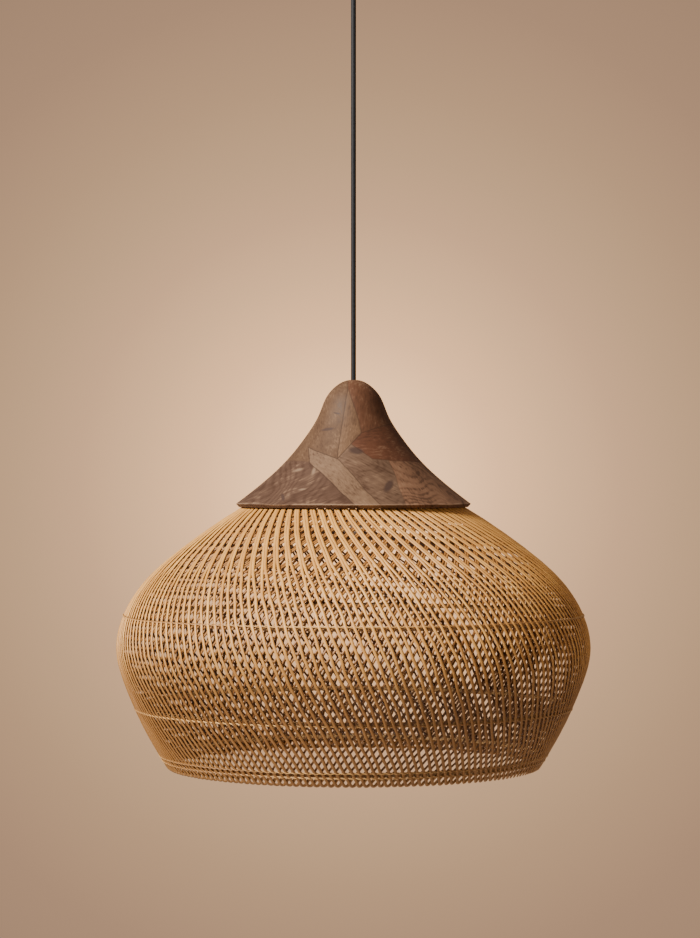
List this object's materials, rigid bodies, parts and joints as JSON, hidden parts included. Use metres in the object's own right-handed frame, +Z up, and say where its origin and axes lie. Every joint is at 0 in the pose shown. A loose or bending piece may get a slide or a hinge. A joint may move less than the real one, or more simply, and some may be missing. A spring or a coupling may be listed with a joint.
{
  "type": "pendant ceiling light",
  "caption": "Pendant ceiling light: a turned wooden bell cap on a black flex over a wide double-layer cane shade, open below, with a lampholder and bulb inside.",
  "frame": {"origin": "centre of the two ceiling screw slots, in the ceiling plane", "axes": "+Z up into the ceiling, the lamp hangs along -Z; +X along the ceiling strap; the reference view looks along +Y"},
  "size_m": [0.5994, 0.5994, 1.0748],
  "materials": {
    "walnut": "satin oiled, patched figure",
    "outer_cane": "natural cane, satin",
    "inner_cane": "natural cane, matt",
    "hoop_cane": "natural cane rod, matt",
    "binding_cane": "split cane peel, satin",
    "spider_wire": "matt black",
    "flex_sheath": "matt black sheath",
    "wire_sleeve": "single wires, gloss sleeve",
    "rose_paint": "matt black powder coat",
    "black_nylon": "moulded nylon",
    "holder_plastic": "moulded thermoset",
    "cream_plastic": "moulded",
    "porcelain": "glazed",
    "zinc_steel": "zinc plated",
    "brass": "plain",
    "nickel": "nickel plated",
    "clear_glass": "clear",
    "black_glass": "fused glass",
    "filament_amber": "coated strip"
  },
  "bodies": {
    "ceiling": {"ceiling_strap": "zinc_steel", "rose_cup": "rose_paint", "rose_side_screws": "brass", "terminal_block": "cream_plastic", "terminal_sleeves": "brass", "terminal_screws": "zinc_steel", "block_screws": "zinc_steel", "rose_wires": "wire_sleeve", "grip_body": "black_nylon", "grip_locknut": "black_nylon", "grip_seal": "flex_sheath", "grip_nut": "black_nylon", "flex_tail": "flex_sheath"},
    "flex_bend": {"flex_neck": "flex_sheath"},
    "flex": {"flex_free": "flex_sheath"},
    "lamp": {"wooden_cap": "walnut", "cap_plate": "zinc_steel", "cap_plate_screws": "brass", "nipple": "zinc_steel", "nipple_nuts": "brass", "flex_clamp": "black_nylon", "clamp_grub_screw": "black_nylon", "flex_end": "flex_sheath", "holder_cap": "holder_plastic", "holder_body": "holder_plastic", "holder_insulator": "porcelain", "holder_thread_sleeve": "brass", "holder_contact_tongue": "brass", "holder_terminal_screws": "brass", "holder_wires": "wire_sleeve", "shade_rings": "holder_plastic", "shade_spider": "spider_wire", "top_hoop": "hoop_cane", "upper_hoop": "hoop_cane", "lower_hoop": "hoop_cane", "foot_hoop": "hoop_cane", "outer_canes_shoulder": "outer_cane", "outer_canes_upper": "outer_cane", "outer_canes_belly": "outer_cane", "outer_canes_lower": "outer_cane", "outer_canes_foot": "outer_cane", "inner_cane_layer": "inner_cane", "upper_binding": "binding_cane", "lower_binding": "binding_cane", "foot_binding": "binding_cane"},
    "bulb": {"bulb_glass": "clear_glass", "bulb_screw_cap": "nickel", "bulb_insulator": "black_glass", "bulb_tip": "zinc_steel", "bulb_stem": "clear_glass", "bulb_filaments": "filament_amber", "filament_wires": "nickel"}
  },
  "joints": [
    {"name": "swing_x", "type": "hinge", "parent": "ceiling", "child": "flex_bend", "pos_m": [0, 0, -0.072], "axis": [1, 0, 0], "range_deg": [-20, 20]},
    {"name": "swing_y", "type": "hinge", "parent": "flex_bend", "child": "flex", "pos_m": [0, 0, -0.072], "axis": [0, 1, 0], "range_deg": [-20, 20]},
    {"name": "lamp_turn", "type": "hinge", "parent": "flex", "child": "lamp", "pos_m": [0, 0, -0.585], "axis": [0, 0, 1], "range_deg": [-180, 180]},
    {"name": "bulb_unscrew", "type": "slide", "parent": "lamp", "child": "bulb", "axis": [0, 0, -1], "range_m": [0, 0.024]}
  ]
}
